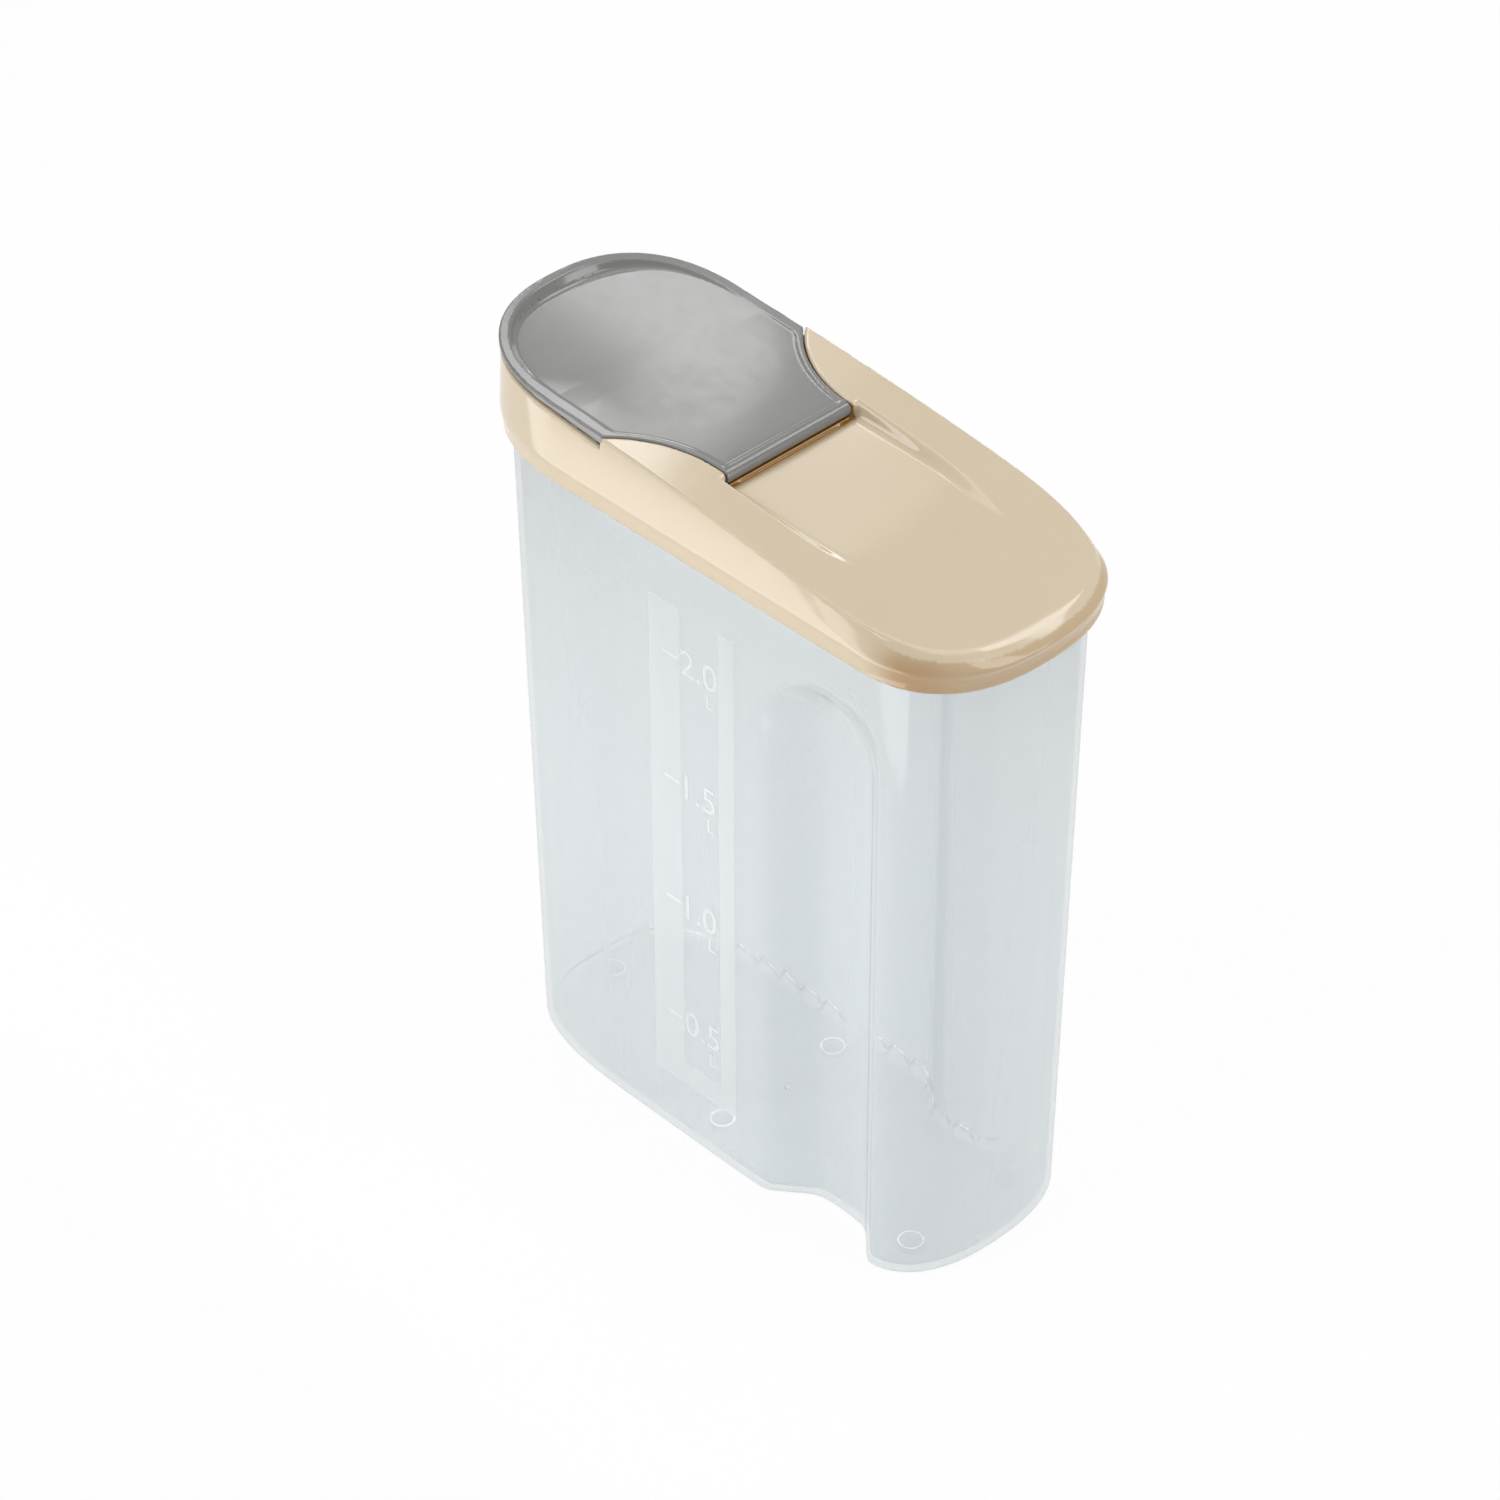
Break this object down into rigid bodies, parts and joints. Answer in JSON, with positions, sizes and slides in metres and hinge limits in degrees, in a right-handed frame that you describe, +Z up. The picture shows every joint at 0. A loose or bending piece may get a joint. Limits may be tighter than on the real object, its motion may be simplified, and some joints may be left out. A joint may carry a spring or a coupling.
{
  "type": "storage jar",
  "caption": "Tall oval see-through storage jar with grip hollows, a sloping lift-off lid with a sealing ring, and a hinged flap over its pouring mouth.",
  "frame": {"origin": "on the surface that the jar stands on, under the middle of the whole object", "axes": "+Z up, X along the jar with the pouring end at -X and the rear end at +X, Y across it"},
  "size_m": [0.2014, 0.083, 0.2547],
  "materials": {
    "jar": "translucent gloss",
    "lid": "satin cream",
    "seal": "soft matte",
    "flap": "gloss grey"
  },
  "bodies": {
    "jar": {"jar": "jar"},
    "lid": {"lid": "lid", "lid_seal": "seal"},
    "flap": {"flap": "flap"}
  },
  "joints": [
    {"name": "lid_lift", "type": "slide", "parent": "jar", "child": "lid", "axis": [0, 0, 1], "range_m": [0, 0.08]},
    {"name": "flap_hinge", "type": "hinge", "parent": "lid", "child": "flap", "pos_m": [-0.0033, 0, 0.24447], "axis": [0, 1, 0], "range_deg": [0, 155]}
  ]
}
